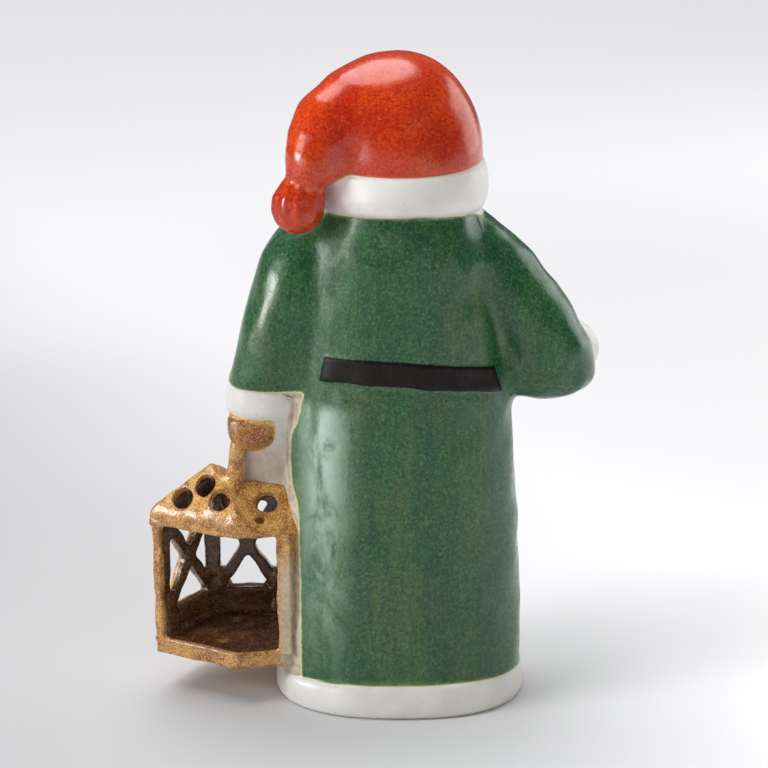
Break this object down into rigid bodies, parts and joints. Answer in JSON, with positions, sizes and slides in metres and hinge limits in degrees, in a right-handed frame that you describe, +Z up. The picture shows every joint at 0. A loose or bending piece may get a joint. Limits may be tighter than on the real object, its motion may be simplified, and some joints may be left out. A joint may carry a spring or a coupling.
{
  "type": "gnome figurine",
  "caption": "Free-standing glazed ceramic gnome figurine in a long belted coat and tasselled cap, holding a lantern-shaped holder for a tealight.",
  "frame": {"origin": "centre of the flat face that the figure stands on", "axes": "+Z up through the cap; the figure faces -Y; its left hand and the lantern are on the +X side"},
  "size_m": [0.2318, 0.1303, 0.327],
  "materials": {
    "green_glaze": "glossy translucent glaze, mottled blue-green over olive, with fine dark and pale flecks",
    "white_glaze": "glossy warm white glaze with faint grey and cream clouding",
    "red_glaze": "glossy orange-red glaze, speckled darker, thin and orange on raised edges",
    "dark_glaze": "satin brown-black glaze",
    "ochre_glaze": "glossy golden-brown glaze broken by dark brown speckle",
    "face_glaze": "glossy pale pink-beige glaze",
    "bare_clay": "unglazed buff stoneware"
  },
  "bodies": {
    "root": {"base_plate": "bare_clay", "coat": "green_glaze", "hem_band": "white_glaze", "belt": "dark_glaze", "left_sleeve": "green_glaze", "right_sleeve": "green_glaze", "left_cuff": "white_glaze", "right_cuff": "white_glaze", "left_mitten": "ochre_glaze", "right_mitten": "ochre_glaze", "side_web": "white_glaze", "head": "face_glaze", "eyes": "dark_glaze", "nose": "face_glaze", "moustache": "white_glaze", "beard": "white_glaze", "cap_band": "white_glaze", "cap": "red_glaze", "cap_tassel": "red_glaze", "lantern_floor": "ochre_glaze", "lantern_post_front": "ochre_glaze", "lantern_post_outer": "ochre_glaze", "lantern_post_rear": "ochre_glaze", "lantern_post_inner": "ochre_glaze", "lantern_panel_outer": "ochre_glaze", "lantern_panel_far": "ochre_glaze", "lantern_roof": "ochre_glaze", "lantern_handle": "ochre_glaze"}
  },
  "joints": []
}
